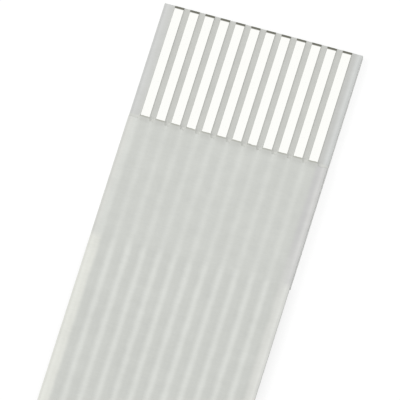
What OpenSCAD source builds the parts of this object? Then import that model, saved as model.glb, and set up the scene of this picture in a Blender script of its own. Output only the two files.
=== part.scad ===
// Flat flex cable: a row of flat conductors between two insulating films.
// At each end the upper film stops short and leaves the conductors bare as
// contacts, and a stiffener under the lower film makes a tongue for a connector.
// Units are millimetres. X is across the cable, Y along it, and Z up. The cable
// lies contacts up, and the origin is the centre of the surface it lies on.

/* [Cable] */
// Length of the cable over both cut ends
cable_length = 50; // [30:1:300]
// Number of conductors side by side
conductor_count = 12; // [4:1:30]
// Distance from one conductor's centre line to the next
pitch = 0.5; // [0.4:0.05:1.25]
// Distance from an outer conductor's centre line to the side of the cable
edge_margin = 0.5; // [0.4:0.05:2]

/* [Conductors] */
// Width of one flat conductor
conductor_w = 0.3; // [0.2:0.01:0.35]
// Thickness of one flat conductor
conductor_t = 0.05; // [0.03:0.005:0.1]
// Radius on a conductor's four long edges, from rolling the wire flat
conductor_edge_r = 0.015; // [0.002:0.001:0.02]
// Length over which the blade that cuts the cable drags a conductor's top edge down
shear_length = 0.07; // [0.02:0.01:0.15]
// Drop of a conductor's top edge at the cut
shear_drop = 0.03; // [0.01:0.005:0.06]

/* [Insulation] */
// Thickness of one film with its adhesive, over a conductor
film_t = 0.05; // [0.03:0.005:0.1]
// Depth to which a film sinks between two conductors
film_dip = 0.018; // [0.002:0.002:0.024]
// Length of conductor that the upper film leaves bare at each end
contact_length = 3.88; // [2:0.01:6]

/* [Stiffeners] */
// Length of a stiffener along the cable
stiffener_length = 8.15; // [6:0.05:14]
// Thickness of a stiffener with its adhesive, under a conductor
stiffener_t = 0.2; // [0.1:0.01:0.35]

/* [Hidden] */
// Straight steps that make the slope from a conductor down to the middle of a gap
slope_steps = 4;
// Straight steps that make a rounded edge
edge_steps = 4;

cable_w = (conductor_count - 1) * pitch + 2 * edge_margin;
half_gap = (pitch - conductor_w) / 2;
edge_r = min(conductor_edge_r, conductor_t / 2);
roll_drop = min(shear_drop, 0.9 * conductor_t);

// Heights: the conductors lie on the lower film, and that on the stiffeners
z_conductor_bottom = stiffener_t + film_t;
z_conductor_top = z_conductor_bottom + conductor_t;
z_bond = z_conductor_bottom + conductor_t / 2;
z_film_top = z_conductor_top + film_t;

last = conductor_count - 1;
conductor_names = [for (i = [0:last]) str("conductor_", i < 9 ? "0" : "", i + 1)];

function conductor_x(i) = (i - last / 2) * pitch;

// Distance from a conductor's centre line to step s of the slope beside it
function slope_x(s) = conductor_w / 2 + half_gap * s / slope_steps;

// Distance from a place across the cable to the nearest conductor's centre line
function from_conductor(x) = min([for (i = [0:last]) abs(x - conductor_x(i))]);

// Depth of the film's surface at x: none over a conductor, full between two
function dip(x) =
    let (beside = (from_conductor(x) - conductor_w / 2) / half_gap)
    film_dip * (1 - cos(180 * max(0, min(1, beside)))) / 2;

// Places across the cable where the ridged surface has a point, side to side
slope_places = [
    for (i = [0:last]) each concat(
        [for (s = [slope_steps:-1:0]) conductor_x(i) - slope_x(s)],
        [for (s = [0:slope_steps - 1]) conductor_x(i) + slope_x(s)]
    ),
    conductor_x(last) + slope_x(slope_steps)
];
places = concat(
    [-cable_w / 2],
    [for (x = slope_places) if (abs(x) < cable_w / 2) x],
    [cable_w / 2]
);
function reversed(list) = [for (i = [len(list) - 1:-1:0]) list[i]];

// The upper film's top surface and the lower film's underside, side to side
top_line = [for (x = places) [x, z_film_top - dip(x)]];
underside_line = [for (x = places) [x, stiffener_t + dip(x)]];

// Quarter circle of a conductor's long edge, about its centre
function edge_arc(cx, cz, start) = [
    for (s = [0:edge_steps])
        let (a = start + 90 * s / edge_steps)
        [cx + edge_r * cos(a), cz + edge_r * sin(a)]
];

// A conductor's section: flat faces with rounded long edges
module conductor_section(i) {
    out = conductor_w / 2 - edge_r;
    low = z_conductor_bottom + edge_r;
    high = z_conductor_top - edge_r;
    polygon(concat(
        edge_arc(conductor_x(i) + out, high, 0),
        edge_arc(conductor_x(i) - out, high, 90),
        edge_arc(conductor_x(i) - out, low, 180),
        edge_arc(conductor_x(i) + out, low, 270)
    ));
}

// Runs a section along the cable, centred on the point y
module along_cable(length, y = 0) {
    translate([0, y, 0])
        rotate([90, 0, 0])
            linear_extrude(length, center = true)
                children();
}

// What the blade takes off a conductor's top edge at the cut end, for one conductor
module sheared_edge(i) {
    cut_y = cable_length / 2;
    outline = concat(
        [
            for (s = [0:edge_steps])
                let (a = 90 * s / edge_steps)
                [
                    cut_y - shear_length * (1 - cos(a)),
                    z_conductor_top - roll_drop * (1 - sin(a))
                ]
        ],
        [
            [cut_y - shear_length, z_film_top],
            [cut_y + shear_length, z_film_top],
            [cut_y + shear_length, z_conductor_top - roll_drop]
        ]
    );
    translate([conductor_x(i), 0, 0])
        rotate([90, 0, 90])
            linear_extrude(2 * conductor_w, center = true)
                polygon(outline);
}

// Tin-plated flat copper conductor, the same full length as the cable
module conductor(i) {
    color("silver")
        difference() {
            along_cable(cable_length) conductor_section(i);
            sheared_edge(i);
            mirror([0, 1, 0]) sheared_edge(i);
        }
}

// Film under the conductors, over the whole length, with a seat for each of them
module lower_film() {
    color("gainsboro")
        along_cable(cable_length)
            difference() {
                polygon(concat(
                    underside_line,
                    [[cable_w / 2, z_bond], [-cable_w / 2, z_bond]]
                ));
                for (i = [0:last]) conductor_section(i);
            }
}

// Film over the conductors, which stops at each end where the contacts begin
module upper_film() {
    color("whitesmoke")
        along_cable(cable_length - 2 * contact_length)
            difference() {
                polygon(concat(
                    [[-cable_w / 2, z_bond], [cable_w / 2, z_bond]],
                    reversed(top_line)
                ));
                for (i = [0:last]) conductor_section(i);
            }
}

// Stiffener bonded under the lower film, flush with the cut end on side +1 or -1
module stiffener(side) {
    color("lightgrey")
        along_cable(stiffener_length, side * (cable_length - stiffener_length) / 2)
            polygon(concat(
                [[-cable_w / 2, 0], [cable_w / 2, 0]],
                reversed(underside_line)
            ));
}

stiffener(1);  // near_stiffener
stiffener(-1);  // far_stiffener
lower_film();
for (i = [0:last]) {
    conductor(i);
}
upper_film();
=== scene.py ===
import math

import bmesh
import bpy
from mathutils import Matrix, Vector, noise


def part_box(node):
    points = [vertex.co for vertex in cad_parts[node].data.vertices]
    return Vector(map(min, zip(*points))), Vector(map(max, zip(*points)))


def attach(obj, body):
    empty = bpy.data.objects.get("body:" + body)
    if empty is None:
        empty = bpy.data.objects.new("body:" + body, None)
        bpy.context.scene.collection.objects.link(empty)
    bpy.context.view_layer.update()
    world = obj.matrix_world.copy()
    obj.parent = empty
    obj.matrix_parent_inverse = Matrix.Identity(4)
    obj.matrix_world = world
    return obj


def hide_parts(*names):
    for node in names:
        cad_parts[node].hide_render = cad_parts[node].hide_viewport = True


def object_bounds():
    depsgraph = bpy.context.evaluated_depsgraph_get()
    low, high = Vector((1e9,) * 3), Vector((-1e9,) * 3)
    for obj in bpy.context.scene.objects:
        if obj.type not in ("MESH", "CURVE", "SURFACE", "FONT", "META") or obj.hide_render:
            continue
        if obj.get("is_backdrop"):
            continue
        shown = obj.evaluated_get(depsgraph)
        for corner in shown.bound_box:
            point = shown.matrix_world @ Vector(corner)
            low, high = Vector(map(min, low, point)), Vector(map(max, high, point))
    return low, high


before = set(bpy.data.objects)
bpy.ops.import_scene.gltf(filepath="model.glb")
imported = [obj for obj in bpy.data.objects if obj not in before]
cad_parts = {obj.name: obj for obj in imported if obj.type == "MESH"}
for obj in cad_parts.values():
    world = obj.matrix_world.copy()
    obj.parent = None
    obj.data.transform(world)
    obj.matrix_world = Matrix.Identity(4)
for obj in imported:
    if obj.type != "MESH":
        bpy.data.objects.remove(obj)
cad_low, cad_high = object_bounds()


# ---- Conductors ----------------------------------------------------------------
# Twelve copper wires rolled flat and plated with bright tin. They run side by side
# at an even pitch through the whole cable and are cut with it, in one stroke of a
# blade, which drags their top edge down. They are the frame's own solids.
MM = 0.001  # one millimetre in metres

conductors = sorted(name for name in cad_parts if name.startswith("conductor_"))
conductor_boxes = [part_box(name) for name in conductors]
centres = [(low.x + high.x) / 2 for low, high in conductor_boxes]
first_low, first_high = conductor_boxes[0]
CONDUCTOR_W = first_high.x - first_low.x
CONDUCTOR_BOTTOM = first_low.z
CONDUCTOR_TOP = first_high.z
BOND = (CONDUCTOR_BOTTOM + CONDUCTOR_TOP) / 2  # height at which the two films meet
PITCH = (centres[-1] - centres[0]) / (len(centres) - 1)
TIP = first_high.y

TIN = ("#fdfdf9", "#fefefb")
TIN_CLOUD = 0.5 * MM  # size of the patches in which the tin is a touch whiter
TIN_ROUGHNESS = (0.14, 0.24)
ROLLED_LINES = 0.02 * MM  # spacing of the lines from rolling, drawn as coarse as they need to show
ROLLED_LENGTH = 1.0 * MM  # length of one such line
ROLLED_DEPTH = 0.0004 * MM
ROLLED_STRENGTH = 0.5
ADHESIVE_AND_SHADE_TIN = "#c9cac4"  # the rounded long edges, painted darker as their shade, with a trace of adhesive on the tin
ADHESIVE_AND_SHADE_FULL, ADHESIVE_AND_SHADE_ENDS = 0.0025 * MM, 0.0075 * MM  # how far they reach in from a conductor's side
TIP_SHADE = "#76766c"  # the end that the blade drags down, and the cut face round the core, painted dark as shade
TIP_SHADE_FULL, TIP_SHADE_ENDS = 0.072 * MM, 0.1035 * MM  # how far it reaches in from the cut
TIP_ROUGHER = 0.3
COPPER = "#a9745a"  # the core, which the cut lays open
TIN_SKIN = 0.006 * MM  # plating that shows round the core
END_ON = 0.95  # a face turned this squarely along the cable is the cut
NOISE_LOW, NOISE_HIGH = 0.3, 0.7  # nearly all values of a noise node lie between these


def linear(colour):
    """An sRGB hex colour as linear red, green, blue and alpha."""
    parts = [int(colour[i : i + 2], 16) / 255 for i in (1, 3, 5)]
    return [c / 12.92 if c <= 0.04045 else ((c + 0.055) / 1.055) ** 2.4 for c in parts] + [1]


def add(tree, kind, inputs=None, **settings):
    """A new shader node with its settings.

    Each input is set to a value, or linked to a socket or to a node's first output."""
    node = tree.nodes.new("ShaderNode" + kind)
    for name, value in settings.items():
        setattr(node, name, value)
    for name, value in (inputs or {}).items():
        if isinstance(value, bpy.types.Node):
            value = value.outputs[0]
        if isinstance(value, bpy.types.NodeSocket):
            tree.links.new(value, node.inputs[name])
        else:
            node.inputs[name].default_value = value
    return node


# A MapRange node takes a value at 0, the range it lies in at 1 and 2, and the range it is put in
# at 3 and 4, which is 0 to 1 unless set. A Mix node takes its colours at 6 and 7, and gives their
# mix at output 2.
SOFT = {"interpolation_type": "SMOOTHSTEP"}
COLOURS = {"data_type": "RGBA"}


def new_material(name):
    """An empty material, and its tree."""
    material = bpy.data.materials.new(name)
    material.use_nodes = True
    tree = material.node_tree
    tree.nodes.clear()
    return material, tree


def from_conductor(tree, place):
    """How many pitches a point is from the middle of the nearest conductor, across the cable."""
    pitches = add(tree, "Math", {0: place["X"], 1: PITCH}, operation="DIVIDE")
    across = add(tree, "Math", {0: pitches}, operation="FRACT")
    beside = add(tree, "Math", {0: across, 1: 0.5}, operation="SUBTRACT")
    beside = add(tree, "Math", {0: beside}, operation="ABSOLUTE")
    out = add(tree, "Math", {0: place["X"]}, operation="ABSOLUTE")
    past_last = add(tree, "Math", {0: out, 1: centres[-1]}, operation="SUBTRACT")
    past_last = add(tree, "Math", {0: past_last, 1: PITCH}, operation="DIVIDE")
    return add(tree, "Math", {0: beside, 1: past_last}, operation="MAXIMUM")


def bright_tin_plate():
    """Tin plate on rolled copper: a soft mirror with faint lines along it, darker long edges, and a
    cut end painted dark as shade.
    """
    material, tree = new_material("bright_tin_plate")
    where = add(tree, "TexCoord").outputs["Object"]
    place = add(tree, "SeparateXYZ", {0: where}).outputs
    fine = (1 / ROLLED_LINES, 1 / ROLLED_LENGTH, 1 / ROLLED_LINES)
    stretched = add(tree, "Mapping", {"Vector": where, "Scale": fine})
    lines = add(tree, "TexNoise", {"Vector": stretched, "Scale": 1.0})
    cloud = add(tree, "TexNoise", {"Vector": where, "Scale": 1 / TIN_CLOUD})

    # The cut face shows the copper core, inside its skin of tin, which takes the end's painted
    # shade.
    aside = add(tree, "Math", {0: from_conductor(tree, place), 1: PITCH}, operation="MULTIPLY")
    height = add(tree, "Math", {0: place["Z"], 1: BOND}, operation="SUBTRACT")
    height = add(tree, "Math", {0: height}, operation="ABSOLUTE")
    core_w = CONDUCTOR_W / 2 - TIN_SKIN
    core_t = (CONDUCTOR_TOP - CONDUCTOR_BOTTOM) / 2 - TIN_SKIN
    core = add(tree, "Math", {0: aside, 1: core_w}, operation="LESS_THAN")
    level = add(tree, "Math", {0: height, 1: core_t}, operation="LESS_THAN")
    core = add(tree, "Math", {0: core, 1: level}, operation="MULTIPLY")
    facing = add(tree, "NewGeometry").outputs["True Normal"]
    end_on = add(tree, "SeparateXYZ", {0: facing}).outputs["Y"]
    end_on = add(tree, "Math", {0: end_on}, operation="ABSOLUTE")
    end_on = add(tree, "Math", {0: end_on, 1: END_ON}, operation="GREATER_THAN")
    core = add(tree, "Math", {0: core, 1: end_on}, operation="MULTIPLY")
    cut = add(tree, "Mix", {0: core, 6: linear(TIP_SHADE), 7: linear(COPPER)}, **COLOURS)

    # Long edges painted darker, as their shade and a trace of adhesive, and an end painted dark, as
    # the shade of the tip that the blade drags down.
    side = CONDUCTOR_W / 2
    adhesive_and_shade = add(tree, "MapRange", {0: aside, 1: side - ADHESIVE_AND_SHADE_ENDS, 2: side - ADHESIVE_AND_SHADE_FULL}, **SOFT)
    along = add(tree, "Math", {0: place["Y"]}, operation="ABSOLUTE")
    shaded_tip = add(tree, "MapRange", {0: along, 1: TIP - TIP_SHADE_ENDS, 2: TIP - TIP_SHADE_FULL}, **SOFT)
    tin = add(tree, "Mix", {0: cloud, 6: linear(TIN[0]), 7: linear(TIN[1])}, **COLOURS)
    tin = add(tree, "Mix", {0: adhesive_and_shade, 6: tin.outputs[2], 7: linear(ADHESIVE_AND_SHADE_TIN)}, **COLOURS)
    colour = add(tree, "Mix", {0: shaded_tip, 6: tin.outputs[2], 7: cut.outputs[2]}, **COLOURS)

    smooth, coarse = TIN_ROUGHNESS
    rough = add(tree, "MapRange", {0: lines, 1: NOISE_LOW, 2: NOISE_HIGH, 3: smooth, 4: coarse})
    rougher = add(tree, "Math", {0: shaded_tip, 1: TIP_ROUGHER}, operation="MULTIPLY")
    rough = add(tree, "Math", {0: rough, 1: rougher}, operation="ADD")
    relief = {"Height": lines, "Distance": ROLLED_DEPTH, "Strength": ROLLED_STRENGTH}
    finish = {"Metallic": 1.0, "Roughness": rough, "Normal": add(tree, "Bump", relief)}
    shader = add(tree, "BsdfPrincipled", {"Base Color": colour.outputs[2], **finish})
    add(tree, "OutputMaterial", {"Surface": shader})
    return material


def give(piece, material):
    """The piece shows this material alone."""
    piece.data.materials.clear()
    piece.data.materials.append(material)


tin_plate = bright_tin_plate()
for name in conductors:
    give(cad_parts[name], tin_plate)


# ---- Lower film ----------------------------------------------------------------
# Milky polyester film with a melted adhesive on its inner face, laid under the
# conductors over the whole length. They are pressed into the adhesive, which
# creeps up their sides, and the outer face sinks a little between them.
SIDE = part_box("lower_film")[1].x
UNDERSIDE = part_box("lower_film")[0].z
FILM_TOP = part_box("upper_film")[1].z
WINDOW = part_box("upper_film")[1].y  # where the upper film ends
STIFFENER_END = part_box("near_stiffener")[0].y
HALF_GAP = (PITCH - CONDUCTOR_W) / 2
DIP = 0.018 * MM  # depth that the outer face sinks between two conductors
CLEAR = 0.0015 * MM  # room between a film and what it is bonded to, so that no faces coincide
SLIT_ROUND = 0.008 * MM  # drop of a slit edge, which the knife rounds over

# The upper film's end, which the adhesive of the lower one follows
DRAWN_IN = 0.12 * MM  # how far it draws back between two conductors
CORNER_W = 0.05 * MM  # width over which it does so, beside each conductor
STRAYS = 0.03 * MM  # how far it strays from a straight line
STRAY_SIZE = 0.12 * MM
STRAY_SEED = 7.0

# The adhesive in the window
CREEP = 0.008 * MM  # height to which it creeps up a conductor's side
CREEP_W = 0.025 * MM
SQUEEZE = 0.03 * MM  # height of the bead that the press squeezes out at the upper film's end
SQUEEZE_W = 0.06 * MM
BURIED = 0.06 * MM  # length over which that bead runs on inside the upper film
SAG = 0.002 * MM  # depth of the slow waves in its surface
SAG_SIZE = 0.3 * MM
SAG_SEED = 3.0

# Rows and columns of the films' meshes
GAP_COLUMNS = 8  # from a conductor's side to the middle of a gap
CONDUCTOR_COLUMNS = 4  # from a conductor's middle to its side
MARGIN_COLUMNS = 6
ROUNDING = (0.0, 0.4, 1.0, 2.0)  # places over a rounded edge, in its drops from the cut
WINDOW_STEPS = 40
LAST_STEPS = 3  # steps before the cut that have no row, because the cut has rows of its own
HIDDEN_STEPS = 8  # under the upper film, where the face is flat
BEAD_ROWS = (-14, 5)  # from inside the upper film's end to outside it
BEAD_STEP = 0.02 * MM
SHARP = math.radians(35)  # faces that meet at more than this show an edge


def limited(share):
    """The share, kept from 0 to 1."""
    return min(1.0, max(0.0, share))


def nearest(x):
    """Distance from x to the middle of the nearest conductor."""
    return min(abs(x - centre) for centre in centres)


def dip(x):
    """How far the outer face has sunk at x: nothing over a conductor, all of it between two."""
    beside = limited((nearest(x) - CONDUCTOR_W / 2) / HALF_GAP)
    return DIP * (1 - math.cos(math.pi * beside)) / 2


def columns():
    """Places across the cable that a film's mesh has points at, close at the conductors' sides."""
    half_w = CONDUCTOR_W / 2
    beside = [half_w + offset for offset in (-2 * CLEAR, CLEAR)]
    beside += [half_w + CLEAR + (HALF_GAP - CLEAR) * k / GAP_COLUMNS for k in range(1, GAP_COLUMNS)]
    over = [half_w * k / CONDUCTOR_COLUMNS for k in range(CONDUCTOR_COLUMNS)]
    offsets = sorted({round(side * o, 9) for o in beside + over for side in (-1, 1)})
    found = [centre + o for centre in centres for o in offsets]
    found += [(a + b) / 2 for a, b in zip(centres, centres[1:])]
    inner = centres[-1] + PITCH / 2
    margin = [inner + (SIDE - inner) * k / MARGIN_COLUMNS for k in range(MARGIN_COLUMNS)]
    margin += [SIDE - SLIT_ROUND * k for k in ROUNDING]
    return sorted(found + margin + [-x for x in margin])


def film_mesh(name, across, along, outer, inner):
    """A closed film: one face with all its rows, and the other with its end rows alone.

    outer gives a point of the detailed face, and inner one of the other, for x and y."""
    mesh = bpy.data.meshes.new(name)
    made = bmesh.new()
    grid = [[made.verts.new(outer(x, y)) for x in across] for y in along]
    back = [[made.verts.new(inner(x, y)) for x in across] for y in (along[0], along[-1])]
    last = len(across) - 1
    up = grid[0][0].co.z > back[0][0].co.z

    def face(*corners):
        made.faces.new(corners if up else corners[::-1])

    for row, above in zip(grid, grid[1:]):
        for i in range(last):
            face(row[i], row[i + 1], above[i + 1], above[i])
    for i in range(last):
        face(back[0][i + 1], back[0][i], back[1][i], back[1][i + 1])
        face(grid[0][i + 1], grid[0][i], back[0][i], back[0][i + 1])
        face(grid[-1][i], grid[-1][i + 1], back[1][i + 1], back[1][i])
    face(*[row[0] for row in grid], back[1][0], back[0][0])
    face(*[row[last] for row in reversed(grid)], back[0][last], back[1][last])
    for item in made.faces:
        item.smooth = True
    made.to_mesh(mesh)
    made.free()
    piece = bpy.data.objects.new(name, mesh)
    bpy.context.scene.collection.objects.link(piece)
    mesh.set_sharp_from_angle(angle=SHARP)
    return piece


def cut_rows(end):
    """Rows close to a cut end, from it inwards, the last one past the rounding."""
    return [end - SLIT_ROUND * k for k in (*ROUNDING, 4.0)]


def mirrored(rows):
    """The rows of one half, and the same on the other side of the middle."""
    return sorted(rows + [-y for y in rows if y > 0])


def rounded(distance, radius):
    """How far a cut edge has dropped at a distance from the cut."""
    left = max(0.0, 1 - distance / (2 * radius))
    return radius * left * left


def wander(x, y, size, seed):
    """Smooth chance, from -1 to 1, that changes over about size."""
    return noise.noise(Vector((x / size, y / size, seed)))


def film_end(x, y):
    """Where the upper film ends at x, on the side of the middle that y is on."""
    gap = limited((nearest(x) - CONDUCTOR_W / 2) / CORNER_W)
    drawn_in = DRAWN_IN * gap * gap * (3 - 2 * gap)
    strays = STRAYS * (1 + wander(x, math.copysign(WINDOW, y), STRAY_SIZE, STRAY_SEED)) / 2
    return WINDOW - drawn_in - strays


def lower_top(x, y):
    """The lower film's inner face: seats under the conductors, adhesive creeping up beside them."""
    gap = nearest(x) - CONDUCTOR_W / 2
    if gap < 0:
        return Vector((x, y, CONDUCTOR_BOTTOM - CLEAR))
    out = abs(y) - film_end(x, y)
    risen = CREEP * math.exp(-gap / CREEP_W) + SQUEEZE * math.exp(-max(0.0, out) / SQUEEZE_W)
    risen -= SAG * (1 + wander(x, y, SAG_SIZE, SAG_SEED))
    inside = min(1.0, (SIDE - abs(x)) / (2 * SLIT_ROUND))  # the bead stays out of the side walls
    bare = limited(out / BURIED + 2 * inside)
    drop = rounded(SIDE - abs(x), SLIT_ROUND) + rounded(TIP - abs(y), SLIT_ROUND)
    return Vector((x, y, BOND + bare * risen - (1 - bare) * CLEAR - drop))


def lower_underside(x, y):
    """The lower film's outer face, which sinks upwards between the conductors."""
    return Vector((x, y, UNDERSIDE + dip(x)))


window_steps = range(1, WINDOW_STEPS - LAST_STEPS)
window_rows = [WINDOW + (TIP - WINDOW) * k / WINDOW_STEPS for k in window_steps]
window_rows += [WINDOW + BEAD_STEP * k for k in range(*BEAD_ROWS)]
hidden_rows = [WINDOW * k / HIDDEN_STEPS for k in range(HIDDEN_STEPS)]
lower_rows = mirrored(hidden_rows + window_rows + cut_rows(TIP))
lower_film = film_mesh("lower_film_sheet", columns(), lower_rows, lower_top, lower_underside)

# Colours over a conductor, between two, and in the left and right side margins, each margin near the
# conductor and near the slit edge. Near the conductors the left margin is painted lighter and the
# right one darker, as light from the lamp on the left and shade away from it; over and past a
# stiffener the far margins are too.
MILKY = {
    "over a stiffener": ("#d0d2cd", "#d7d9d4", "#dbddd8", "#ddded9", "#cacac9", "#d8d8d6"),
    "past a stiffener": ("#ced0cb", "#dcded9", "#e4e5de", "#e9eae3", "#dbdcd7", "#e3e4df"),
    "bare adhesive": ("#cccdc8", "#cccdc8", "#d0d1ce", "#d5d6d4", "#c8c9c6", "#d6d8d6"),
}
BAND_FULL, BAND_ENDS = 0.14, 0.5  # reach of a conductor's grey band, in pitches from its middle
BAND_STRAY = 0.15  # how unsteady that reach is, in pitches
BAND_WAVE = 0.4 * MM
MARGIN_NEAR, MARGIN_FAR = 0.5, 0.8  # a margin's two colours, in pitches from the last conductor
SLIT_EDGE = "#e6e7e3"
WALL_STARTS, WALL_FULL = 0.5, 0.8  # how far from level a face is that takes this colour
SLIT_SHADE_FULL, SLIT_SHADE_ENDS = 0.05 * MM, 0.1 * MM  # reach of the painted shade beside a slit edge, from the side
SLIT_SHADE_DARKENS = 0.08
CLOUD_SIZE = 0.45 * MM
CLOUD_DETAIL = 3.0
CLOUD_EDGES = 0.6
PATCH_SIZE = 1.6 * MM
PATCH_SHARE = 0.6
ROLLER_MARK = (0.25 * MM, 0.05 * MM, 0.25 * MM)  # marks drawn as coarse as they need to show
ROLLER_SHARE = 0.6
ROLLER_DEPTH = 0.002 * MM
ROLLER_STRENGTH = 0.4
SHADE_LOW, SHADE_HIGH = 0.5, 1.1  # what cloud, patches and roller marks come to together
DARKEST, LIGHTEST = 0.955, 1.03  # what they make of a colour, as shares of it
FILM_ROUGHNESS = (0.34, 0.46)
POLYESTER_IOR = 1.58

BARE_FADES = 0.02 * MM  # length over which film turns to bare adhesive
BEAD = "#dadbd6"  # the thick bead of adhesive at the upper film's end
BEAD_FULL, BEAD_ENDS = 0.07 * MM, 0.01 * MM  # from the window's edge, inwards and outwards


def across_film(tree, where, place):
    """Whether a point is in a conductor's band, on the left, in a side margin, and far out in it."""
    beside = from_conductor(tree, place)
    uneven = add(tree, "TexNoise", {"Vector": where, "Scale": 1 / BAND_WAVE})
    stray = add(tree, "Math", {0: uneven, 1: 0.5}, operation="SUBTRACT")
    stray = add(tree, "Math", {0: stray, 1: BAND_STRAY}, operation="MULTIPLY")
    reach = add(tree, "Math", {0: beside, 1: stray}, operation="ADD")
    band = add(tree, "MapRange", {0: reach, 1: BAND_FULL, 2: BAND_ENDS, 3: 1.0, 4: 0.0}, **SOFT)
    left = add(tree, "Math", {0: place["X"], 1: 0.0}, operation="LESS_THAN")
    out = add(tree, "Math", {0: place["X"]}, operation="ABSOLUTE")
    in_margin = add(tree, "Math", {0: out, 1: centres[-1]}, operation="GREATER_THAN")
    outer = add(tree, "MapRange", {0: beside, 1: MARGIN_NEAR, 2: MARGIN_FAR}, **SOFT)
    return band, left, in_margin, outer


def zone(tree, across, kind):
    """The film's colours across the cable, in one kind of stretch along it."""
    band, left, in_margin, outer = across
    over, gap, lit_left_in, left_out, shaded_right_in, right_out = [linear(c) for c in MILKY[kind]]
    # The left margin takes the lighter colours, painted light from the lamp on that side, and the
    # right one the darker, painted shade.
    near = add(tree, "Mix", {0: left, 6: shaded_right_in, 7: lit_left_in}, **COLOURS)
    far = add(tree, "Mix", {0: left, 6: right_out, 7: left_out}, **COLOURS)
    margin = add(tree, "Mix", {0: outer, 6: near.outputs[2], 7: far.outputs[2]}, **COLOURS)
    off = add(tree, "Mix", {0: in_margin, 6: gap, 7: margin.outputs[2]}, **COLOURS)
    return add(tree, "Mix", {0: band, 6: off.outputs[2], 7: over}, **COLOURS).outputs[2]


def film_surface(tree, where, place, colour):
    """Gives the material a surface of satin, cloudy film in this colour."""
    # A slit edge is lighter on its wall, and the film beside it is painted darker, as the shade of
    # its rounding.
    facing = add(tree, "NewGeometry").outputs["True Normal"]
    level = add(tree, "SeparateXYZ", {0: facing}).outputs["Z"]
    level = add(tree, "Math", {0: level}, operation="ABSOLUTE")
    wall = add(tree, "Math", {0: 1.0, 1: level}, operation="SUBTRACT")
    wall = add(tree, "MapRange", {0: wall, 1: WALL_STARTS, 2: WALL_FULL}, **SOFT)
    colour = add(tree, "Mix", {0: wall, 6: colour, 7: linear(SLIT_EDGE)}, **COLOURS)
    out = add(tree, "Math", {0: place["X"]}, operation="ABSOLUTE")
    slit_shade = add(tree, "MapRange", {0: out, 1: SIDE - SLIT_SHADE_ENDS, 2: SIDE - SLIT_SHADE_FULL}, **SOFT)
    slit_shade = add(tree, "Math", {0: slit_shade, 1: SLIT_SHADE_DARKENS}, operation="MULTIPLY")
    slit_shade = add(tree, "Math", {0: 1.0, 1: slit_shade}, operation="SUBTRACT")

    # Cloudy adhesive, and fine marks across the film from the rollers that pressed it.
    cloud = {"Vector": where, "Scale": 1 / CLOUD_SIZE, "Detail": CLOUD_DETAIL}
    cloud = add(tree, "TexNoise", {**cloud, "Roughness": CLOUD_EDGES})
    marks = add(tree, "Mapping", {"Vector": where, "Scale": [1 / size for size in ROLLER_MARK]})
    marks = add(tree, "TexNoise", {"Vector": marks, "Scale": 1.0})
    patches = add(tree, "TexNoise", {"Vector": where, "Scale": 1 / PATCH_SIZE})
    streaks = add(tree, "Math", {0: marks, 1: ROLLER_SHARE}, operation="MULTIPLY")
    shade = add(tree, "Math", {0: cloud, 1: streaks}, operation="ADD")
    patches = add(tree, "Math", {0: patches, 1: 0.5}, operation="SUBTRACT")
    patches = add(tree, "Math", {0: patches, 1: PATCH_SHARE}, operation="MULTIPLY")
    shade = add(tree, "Math", {0: shade, 1: patches}, operation="ADD")
    shade = add(tree, "MapRange", {0: shade, 1: SHADE_LOW, 2: SHADE_HIGH, 3: DARKEST, 4: LIGHTEST})
    shade = add(tree, "Math", {0: shade, 1: slit_shade}, operation="MULTIPLY")
    colour = add(tree, "VectorMath", {0: colour.outputs[2], "Scale": shade}, operation="SCALE")

    smooth, coarse = FILM_ROUGHNESS
    rough = add(tree, "MapRange", {0: marks, 1: NOISE_LOW, 2: NOISE_HIGH, 3: smooth, 4: coarse})
    relief = {"Height": marks, "Distance": ROLLER_DEPTH, "Strength": ROLLER_STRENGTH}
    finish = {"IOR": POLYESTER_IOR, "Roughness": rough, "Normal": add(tree, "Bump", relief)}
    shader = add(tree, "BsdfPrincipled", {"Base Color": colour, **finish})
    add(tree, "OutputMaterial", {"Surface": shader})


def lower_polyester():
    """Milky film, with bare adhesive in the window and a lighter bead at the upper film's end."""
    material, tree = new_material("milky_polyester_lower")
    where = add(tree, "TexCoord").outputs["Object"]
    place = add(tree, "SeparateXYZ", {0: where}).outputs
    across = across_film(tree, where, place)
    along = add(tree, "Math", {0: place["Y"]}, operation="ABSOLUTE")
    edge = WINDOW - DRAWN_IN
    bare = add(tree, "MapRange", {0: along, 1: edge - BARE_FADES, 2: edge}, **SOFT)
    covered = zone(tree, across, "past a stiffener")
    adhesive = zone(tree, across, "bare adhesive")
    colour = add(tree, "Mix", {0: bare, 6: covered, 7: adhesive}, **COLOURS)
    ends = {1: WINDOW - BEAD_FULL, 2: WINDOW + BEAD_ENDS, 3: 1.0, 4: 0.0}
    bead = add(tree, "MapRange", {0: along, **ends}, **SOFT)
    bead = add(tree, "Math", {0: bead, 1: bare}, operation="MULTIPLY")
    colour = add(tree, "Mix", {0: bead, 6: colour.outputs[2], 7: linear(BEAD)}, **COLOURS)
    film_surface(tree, where, place, colour.outputs[2])
    return material


give(lower_film, lower_polyester())
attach(lower_film, "root")
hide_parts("lower_film")


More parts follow.
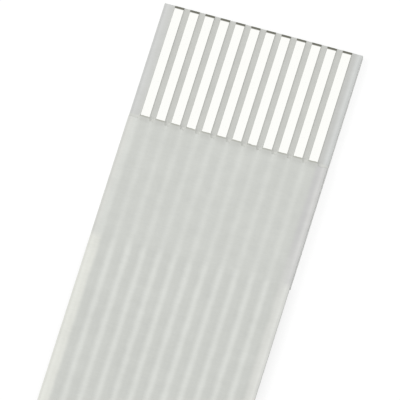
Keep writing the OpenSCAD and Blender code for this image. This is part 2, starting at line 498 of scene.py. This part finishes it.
# ---- Upper film ----------------------------------------------------------------
# The same film over the conductors, hot rolled down on them so that each shows as
# a low ridge. It is laid on with a punched window at each end, and the soft film
# edge there follows the conductors up and down and is not quite straight.
END_ROUND = 0.02 * MM  # drop of the pressed end
RIDGE_FLAT = 0.06 * MM  # half the width of a ridge's flat top
RIDGE_USUAL = 0.85  # a ridge's usual height, as a share of DIP, which is the most it gets
RIDGE_VARIES = 0.25
RIDGE_WAVE = 0.9 * MM
RIDGE_SEED = 1.0
DRAWN_BACK = 0.3 * MM  # length of film, up to its end, that draws back with it
TAPE_FLATTENS = 0.45  # share of the ridges' height that the press takes off over a stiffener
TAPE_STEP = 0.4 * MM  # length over which the ridges rise again at the stiffener's end
RIDGE_STEPS = 60  # rows of the mesh along a half, and more where it draws back
DRAWN_STEPS = 8

# The colours change from this far before a stiffener's end to this far past it, and the grey line
# beside the last conductor on the right, a painted shade, fades out over a longer stretch.
PAST_STARTS, PAST_FULL = 0.15 * MM, 0.2 * MM
LINE_STARTS, LINE_GONE = 2.0 * MM, 0.9 * MM
FILM_END_SHADE = "#bfc0bb"  # painted shade over a conductor at the pressed end
FILM_END_SHADE_FULL, FILM_END_SHADE_STARTS = 0.12, 0.3  # in millimetres from the film's end
FILM_END_SHADE_SHARE = 0.5
RIM_SHADE = "#b4b5ac"  # its very edge, painted in darker shade
RIM_FULL, RIM_STARTS = 0.035, 0.075  # in millimetres from the film's end


def pulled(x, y):
    """How far a point of the upper film lies inwards of where a straight end would put it."""
    share = max(0.0, 1 - (WINDOW - abs(y)) / DRAWN_BACK)
    return (WINDOW - film_end(x, y)) * share


def upper_top(x, y):
    """The upper film's outer face, with a soft ridge over each conductor."""
    beside = limited((nearest(x) - RIDGE_FLAT) / (PITCH / 2 - RIDGE_FLAT))
    height = min(1.0, RIDGE_USUAL + RIDGE_VARIES * wander(x, y, RIDGE_WAVE, RIDGE_SEED))
    height *= 1 - TAPE_FLATTENS * limited((abs(y) - STIFFENER_END) / TAPE_STEP + 0.5)
    drop = height * DIP * (1 - math.cos(math.pi * beside)) / 2
    drop += rounded(SIDE - abs(x), SLIT_ROUND) + rounded(WINDOW - abs(y), END_ROUND)
    return Vector((x, y - math.copysign(pulled(x, y), y), FILM_TOP - drop))


def upper_seat(x, y):
    """The upper film's inner face, with a seat over each conductor."""
    on_top = nearest(x) < CONDUCTOR_W / 2
    level = CONDUCTOR_TOP + CLEAR if on_top else BOND + CLEAR
    return Vector((x, y - math.copysign(pulled(x, y), y), level))


upper_rows = [WINDOW * k / RIDGE_STEPS for k in range(RIDGE_STEPS)] + cut_rows(WINDOW)
upper_rows += [WINDOW - DRAWN_BACK * k / DRAWN_STEPS for k in range(1, DRAWN_STEPS + 1)]
upper_film = film_mesh("upper_film_sheet", columns(), mirrored(upper_rows), upper_top, upper_seat)

# How far each point lies in from the film's end, for the material
from_edge = upper_film.data.attributes.new("from_edge_mm", "FLOAT", "POINT")
for point, value in zip(upper_film.data.vertices, from_edge.data):
    x, y, _ = point.co
    value.value = min(1.0, (film_end(x, y) - abs(y)) / MM)


def upper_polyester():
    """Milky film with conductors under it, and painted shade over them toward its rounded end."""
    material, tree = new_material("milky_polyester_upper")
    where = add(tree, "TexCoord").outputs["Object"]
    place = add(tree, "SeparateXYZ", {0: where}).outputs
    across = across_film(tree, where, place)
    band, left, in_margin, outer = across
    along = add(tree, "Math", {0: place["Y"]}, operation="ABSOLUTE")
    ends = {1: STIFFENER_END - PAST_FULL, 2: STIFFENER_END + PAST_STARTS, 3: 1.0, 4: 0.0}
    past = add(tree, "MapRange", {0: along, **ends}, **SOFT)

    # The grey line beside the last conductor on the right, a painted shade
    ends = {1: STIFFENER_END - LINE_GONE, 2: STIFFENER_END + LINE_STARTS, 3: 1.0, 4: 0.0}
    faded = add(tree, "MapRange", {0: along, **ends}, **SOFT)
    right = add(tree, "Math", {0: 1.0, 1: left}, operation="SUBTRACT")
    shade_by_last = add(tree, "Math", {0: in_margin, 1: right}, operation="MULTIPLY")
    inner = add(tree, "Math", {0: 1.0, 1: outer}, operation="SUBTRACT")
    shade_by_last = add(tree, "Math", {0: shade_by_last, 1: inner}, operation="MULTIPLY")
    later = add(tree, "Math", {0: faded, 1: past}, operation="SUBTRACT")
    later = add(tree, "Math", {0: shade_by_last, 1: later}, operation="MULTIPLY")
    past = add(tree, "Math", {0: past, 1: later}, operation="ADD")
    stiffened = zone(tree, across, "over a stiffener")
    plain = zone(tree, across, "past a stiffener")
    colour = add(tree, "Mix", {0: past, 6: stiffened, 7: plain}, **COLOURS)

    # Painted shade over the conductors toward the film's end, darkest at its rim.
    inwards = add(tree, "Attribute", attribute_name="from_edge_mm").outputs["Fac"]
    film_end_shade = add(tree, "MapRange", {0: inwards, 1: FILM_END_SHADE_FULL, 2: FILM_END_SHADE_STARTS, 3: 1.0, 4: 0.0}, **SOFT)
    film_end_shade = add(tree, "Math", {0: film_end_shade, 1: FILM_END_SHADE_SHARE}, operation="MULTIPLY")
    film_end_shade = add(tree, "Math", {0: film_end_shade, 1: band}, operation="MULTIPLY")
    colour = add(tree, "Mix", {0: film_end_shade, 6: colour.outputs[2], 7: linear(FILM_END_SHADE)}, **COLOURS)
    rim_shade = add(tree, "MapRange", {0: inwards, 1: RIM_FULL, 2: RIM_STARTS, 3: 1.0, 4: 0.0}, **SOFT)
    rim_shade = add(tree, "Math", {0: rim_shade, 1: band}, operation="MULTIPLY")
    colour = add(tree, "Mix", {0: rim_shade, 6: colour.outputs[2], 7: linear(RIM_SHADE)}, **COLOURS)
    film_surface(tree, where, place, colour.outputs[2])
    return material


give(upper_film, upper_polyester())
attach(upper_film, "root")
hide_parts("upper_film")


# ---- Stiffeners ----------------------------------------------------------------
# Thicker polyester tape bonded under each contact end, cut with the cable. It is
# the same milky plastic, and shows a flat satin underside and its cut edges.
TAPE = ("#c6c7c3", "#d4d5d1")
TAPE_HAZE = 0.6 * MM  # size of the cloudy patches in the tape
HAZE_DETAIL = 4.0
HAZE_EDGES = 0.6
TAPE_GRAIN = 0.08 * MM  # the surface's grain, drawn as coarse as it needs to show
TAPE_RELIEF = 0.003 * MM
TAPE_STRENGTH = 0.5
TAPE_ROUGHNESS = (0.4, 0.52)
CUT_TAPE = ("#d4d5d0", "#e6e7e3")
BLADE_DRAG = 0.04 * MM  # spacing of the blade's lines down a cut edge, coarser than life to show
DRAG_LENGTH = 0.4 * MM
LEVEL_STARTS, LEVEL_FULL = 0.5, 0.8  # how level a face is that is not a cut edge
SHOW_THROUGH = "#bcbeb8"  # the conductors, which show faintly through the underside
SHOW_SHARE = 0.3


def stiffener_tape():
    """Thick milky tape: satin and cloudy, with fine lines from the blade down its cut edges."""
    material, tree = new_material("stiffener_tape")
    where = add(tree, "TexCoord").outputs["Object"]
    place = add(tree, "SeparateXYZ", {0: where}).outputs
    haze = {"Vector": where, "Scale": 1 / TAPE_HAZE, "Detail": HAZE_DETAIL}
    haze = add(tree, "TexNoise", {**haze, "Roughness": HAZE_EDGES})
    grain = add(tree, "TexNoise", {"Vector": where, "Scale": 1 / TAPE_GRAIN})
    down = (1 / BLADE_DRAG, 1 / BLADE_DRAG, 1 / DRAG_LENGTH)
    drag = add(tree, "Mapping", {"Vector": where, "Scale": down})
    drag = add(tree, "TexNoise", {"Vector": drag, "Scale": 1.0})
    facing = add(tree, "NewGeometry").outputs["True Normal"]
    level = add(tree, "SeparateXYZ", {0: facing}).outputs["Z"]
    level = add(tree, "Math", {0: level}, operation="ABSOLUTE")
    level = add(tree, "MapRange", {0: level, 1: LEVEL_STARTS, 2: LEVEL_FULL}, **SOFT)

    beside = from_conductor(tree, place)
    band = add(tree, "MapRange", {0: beside, 1: BAND_FULL, 2: BAND_ENDS, 3: 1.0, 4: 0.0}, **SOFT)
    band = add(tree, "Math", {0: band, 1: SHOW_SHARE}, operation="MULTIPLY")
    tape = add(tree, "Mix", {0: haze, 6: linear(TAPE[0]), 7: linear(TAPE[1])}, **COLOURS)
    tape = add(tree, "Mix", {0: band, 6: tape.outputs[2], 7: linear(SHOW_THROUGH)}, **COLOURS)
    cut = add(tree, "Mix", {0: drag, 6: linear(CUT_TAPE[0]), 7: linear(CUT_TAPE[1])}, **COLOURS)
    colour = add(tree, "Mix", {0: level, 6: cut.outputs[2], 7: tape.outputs[2]}, **COLOURS)

    smooth, coarse = TAPE_ROUGHNESS
    rough = add(tree, "MapRange", {0: grain, 1: NOISE_LOW, 2: NOISE_HIGH, 3: smooth, 4: coarse})
    upright = add(tree, "Math", {0: 1.0, 1: level}, operation="SUBTRACT")
    lines = add(tree, "Math", {0: upright, 1: drag}, operation="MULTIPLY")
    flat = add(tree, "Math", {0: level, 1: grain}, operation="MULTIPLY")
    height = add(tree, "Math", {0: flat, 1: lines}, operation="ADD")
    relief = {"Height": height, "Distance": TAPE_RELIEF, "Strength": TAPE_STRENGTH}
    finish = {"IOR": POLYESTER_IOR, "Roughness": rough, "Normal": add(tree, "Bump", relief)}
    shader = add(tree, "BsdfPrincipled", {"Base Color": colour.outputs[2], **finish})
    add(tree, "OutputMaterial", {"Surface": shader})
    return material


tape = stiffener_tape()
for name in ("near_stiffener", "far_stiffener"):
    give(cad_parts[name], tape)


# ---- Floor and light -----------------------------------------------------------
# A white board under an even white sky, with one large soft lamp low on the left,
# on the viewer's side, which brightens what slopes its way.
FLOOR_DROP = 0.003 * MM  # the floor lies this far under the tape, so that no faces coincide
FLOOR_HALF = 4.0  # half the board's side
BOARD = ("#949494", "#979797")
BOARD_PATCH = 0.2  # size of the patches in which it is a touch lighter
BOARD_GLOW = 0.76  # what the board adds to its own grey where it is seen, to come out white
SKY_LIGHT = 0.77  # strength with which the sky lights, while it is seen in full white
LAMP_AT = Vector((-0.55, -0.2, 0.45))
LAMP_SIZE = 0.5
LAMP_POWER = 1.9


def seen(tree):
    """1 for what the camera sees, also in a mirror or through glass, and 0 for what lights."""
    light = add(tree, "LightPath").outputs
    both = {0: light["Is Camera Ray"], 1: light["Is Glossy Ray"]}
    both = add(tree, "Math", both, operation="MAXIMUM")
    return add(tree, "Math", {0: both, 1: light["Is Transmission Ray"]}, operation="MAXIMUM")


def white_board():
    """Matt white board that stays white to the eye and in reflections, and keeps shadows."""
    material, tree = new_material("white_board")
    patches = add(tree, "TexNoise", {"Scale": 2 * FLOOR_HALF / BOARD_PATCH})  # how many fit on it
    colour = add(tree, "Mix", {0: patches, 6: linear(BOARD[0]), 7: linear(BOARD[1])}, **COLOURS)
    board = add(tree, "BsdfDiffuse", {"Color": colour.outputs[2]})
    glow = add(tree, "Math", {0: seen(tree), 1: BOARD_GLOW}, operation="MULTIPLY")
    glow = add(tree, "Emission", {"Strength": glow})
    add(tree, "OutputMaterial", {"Surface": add(tree, "AddShader", {0: board, 1: glow})})
    return material


floor_mesh = bpy.data.meshes.new("floor")
signs = ((-1, -1), (1, -1), (1, 1), (-1, 1))
corners = [(a * FLOOR_HALF, b * FLOOR_HALF, -FLOOR_DROP) for a, b in signs]
floor_mesh.from_pydata(corners, [], [(0, 1, 2, 3)])
floor = bpy.data.objects.new("floor", floor_mesh)
bpy.context.scene.collection.objects.link(floor)
give(floor, white_board())
floor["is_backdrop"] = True

sky = bpy.data.worlds.new("studio")
bpy.context.scene.world = sky
sky.use_nodes = True
tree = sky.node_tree
tree.nodes.clear()
whiter = add(tree, "Math", {0: seen(tree), 1: 1 - SKY_LIGHT}, operation="MULTIPLY")
strength = add(tree, "Math", {0: SKY_LIGHT, 1: whiter}, operation="ADD")
glow = add(tree, "Background", {"Color": linear("#ffffff"), "Strength": strength})
add(tree, "OutputWorld", {"Surface": glow})

lamp_data = bpy.data.lights.new("softbox", "AREA")
lamp_data.shape = "SQUARE"
lamp_data.size = LAMP_SIZE
lamp_data.energy = LAMP_POWER
lamp = bpy.data.objects.new("softbox", lamp_data)
bpy.context.scene.collection.objects.link(lamp)
lamp.location = LAMP_AT
lamp.rotation_euler = (-LAMP_AT).to_track_quat("-Z", "Y").to_euler()
lamp.visible_glossy = False  # what shines shows the even sky instead


# ---- Camera --------------------------------------------------------------------
# A long lens from above, a little to the right, on the near contact end.
CAMERA_AZIMUTH = 17.8  # this and the next two in degrees
CAMERA_ELEVATION = 67.7
CAMERA_ROLL = -1.5
CAMERA_DISTANCE = 0.396
CAMERA_LENS = 1137.0
AIM = Vector((-0.318 * MM, TIP - 6.043 * MM, 0.042 * MM))

camera_data = bpy.data.cameras.new("camera")
camera_data.sensor_width = 36.0
camera_data.lens = CAMERA_LENS
camera_data.clip_start = 0.01
camera_data.clip_end = 50.0
camera = bpy.data.objects.new("camera", camera_data)
bpy.context.scene.collection.objects.link(camera)
azimuth, elevation = math.radians(CAMERA_AZIMUTH), math.radians(CAMERA_ELEVATION)
back = Vector(
    (
        math.sin(azimuth) * math.cos(elevation),
        -math.cos(azimuth) * math.cos(elevation),
        math.sin(elevation),
    )
)
level = Vector((math.cos(azimuth), math.sin(azimuth), 0.0))
upward = back.cross(level)
roll = math.radians(CAMERA_ROLL)
right = math.cos(roll) * level + math.sin(roll) * upward
up = -math.sin(roll) * level + math.cos(roll) * upward
turn = Matrix((right, up, back)).transposed()
camera.matrix_world = Matrix.Translation(AIM + CAMERA_DISTANCE * back) @ turn.to_4x4()
bpy.context.scene.camera = camera
bpy.context.scene.view_settings.view_transform = "Standard"

seen_low, seen_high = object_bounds()
corners = {"cad": [cad_low, cad_high], "visual": [seen_low, seen_high]}
